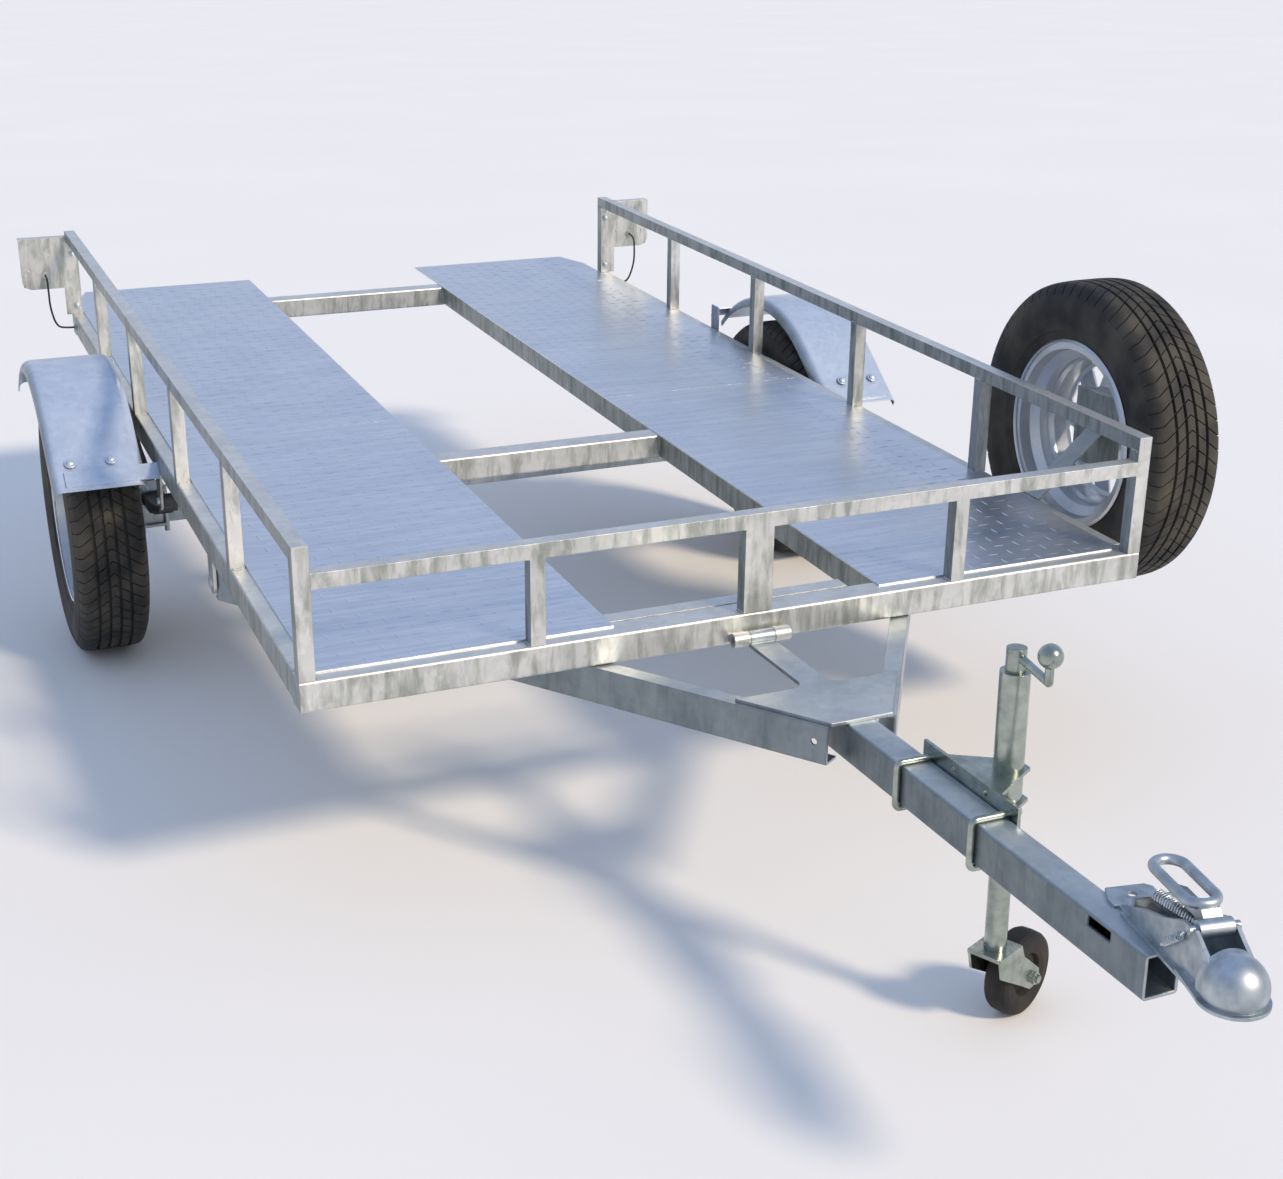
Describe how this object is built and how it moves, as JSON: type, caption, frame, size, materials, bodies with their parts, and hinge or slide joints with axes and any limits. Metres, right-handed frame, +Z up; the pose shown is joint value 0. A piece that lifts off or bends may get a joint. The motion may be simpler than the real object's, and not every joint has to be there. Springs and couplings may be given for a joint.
{
  "type": "golf cart trailer",
  "caption": "Single-axle tilt-bed trailer with two tread plate runways, side rails, spare wheel, jockey wheel and ball coupling.",
  "frame": {"origin": "middle of the trailer's outline, on the ground", "axes": "+Z up, +Y from the coupling to the tail, +X across towards the spare wheel"},
  "size_m": [1.9314, 3.9123, 0.8672],
  "materials": {
    "galvanised": "matte",
    "tread_plate": "satin",
    "zinc_plated": "satin",
    "spring_steel": "matte",
    "rim_steel": "satin",
    "tyre_rubber": "matte",
    "wheel_rubber": "matte",
    "lamp_plastic": "gloss",
    "lead_sheath": "satin"
  },
  "bodies": {
    "drawbar_frame": {"frame_leg_left": "galvanised", "frame_leg_right": "galvanised", "frame_plate": "galvanised", "drawbar": "galvanised", "coupler_body": "zinc_plated", "jockey_bracket": "zinc_plated", "jockey_outer_tube": "zinc_plated"},
    "wheel_left": {"wheel_hub_left": "galvanised", "wheel_rim_left": "rim_steel", "wheel_tyre_left": "tyre_rubber"},
    "wheel_right": {"wheel_hub_right": "galvanised", "wheel_rim_right": "rim_steel", "wheel_tyre_right": "tyre_rubber"},
    "jockey_leg": {"jockey_inner_tube": "zinc_plated", "jockey_nut": "zinc_plated"},
    "jockey_fork": {"jockey_fork": "zinc_plated"},
    "jockey_wheel": {"jockey_wheel": "wheel_rubber"},
    "crank": {"jockey_crank": "zinc_plated"},
    "lever": {"coupler_lever": "zinc_plated"},
    "bed": {"front_rail": "galvanised", "rear_rail": "galvanised", "side_rail_left": "galvanised", "deck_beam_left": "galvanised", "side_rail_right": "galvanised", "deck_beam_right": "galvanised", "mid_rail": "galvanised", "front_filler": "galvanised", "side_fence_left": "galvanised", "side_fence_right": "galvanised", "front_fence": "galvanised", "runway_left_front": "tread_plate", "runway_right_front": "tread_plate", "runway_left_rear": "tread_plate", "runway_right_rear": "tread_plate", "latch_sleeves": "galvanised", "pivot_brackets": "galvanised", "spare_rim": "rim_steel", "spare_tyre": "tyre_rubber", "axle": "galvanised", "leaf_spring_left": "spring_steel", "leaf_spring_right": "spring_steel", "spring_hangers": "galvanised", "mudguard_left": "galvanised", "mudguard_right": "galvanised", "spare_carrier": "galvanised", "lamp_bracket_left": "galvanised", "lamp_left": "lamp_plastic", "lamp_lead_left": "lead_sheath", "lamp_bracket_right": "galvanised", "lamp_right": "lamp_plastic", "lamp_lead_right": "lead_sheath"}
  },
  "joints": [
    {"name": "bed_tilt", "type": "hinge", "parent": "drawbar_frame", "child": "bed", "pos_m": [-0.00575, -0.03678, 0.3849], "axis": [-1, 0, 0], "range_deg": [0, 30]},
    {"name": "wheel_left_spin", "type": "hinge", "parent": "bed", "child": "wheel_left", "pos_m": [-0.85875, 0.79465, 0.29], "axis": [1, 0, 0], "continuous": true},
    {"name": "wheel_right_spin", "type": "hinge", "parent": "bed", "child": "wheel_right", "pos_m": [0.84725, 0.79465, 0.29], "axis": [1, 0, 0], "continuous": true},
    {"name": "jockey_height", "type": "slide", "parent": "drawbar_frame", "child": "jockey_leg", "axis": [0, -0.0177, 0.9998], "range_m": [-0.01, 0.145]},
    {"name": "jockey_swivel", "type": "hinge", "parent": "jockey_leg", "child": "jockey_fork", "pos_m": [0.07825, -1.34741, 0.12649], "axis": [0, -0.0177, 0.9998], "continuous": true},
    {"name": "jockey_wheel_spin", "type": "hinge", "parent": "jockey_fork", "child": "jockey_wheel", "pos_m": [0.13897, -1.31798, 0.064], "axis": [0.4226, -0.9062, -0.016], "continuous": true},
    {"name": "jockey_crank_turn", "type": "hinge", "parent": "drawbar_frame", "child": "crank", "pos_m": [0.07825, -1.35501, 0.55542], "axis": [0, -0.0177, 0.9998], "continuous": true},
    {"name": "coupler_lever_lift", "type": "hinge", "parent": "drawbar_frame", "child": "lever", "pos_m": [0.00428, -1.8631, 0.44658], "axis": [0.9826, -0.1856, -0.0033], "range_deg": [0, 50]}
  ]
}
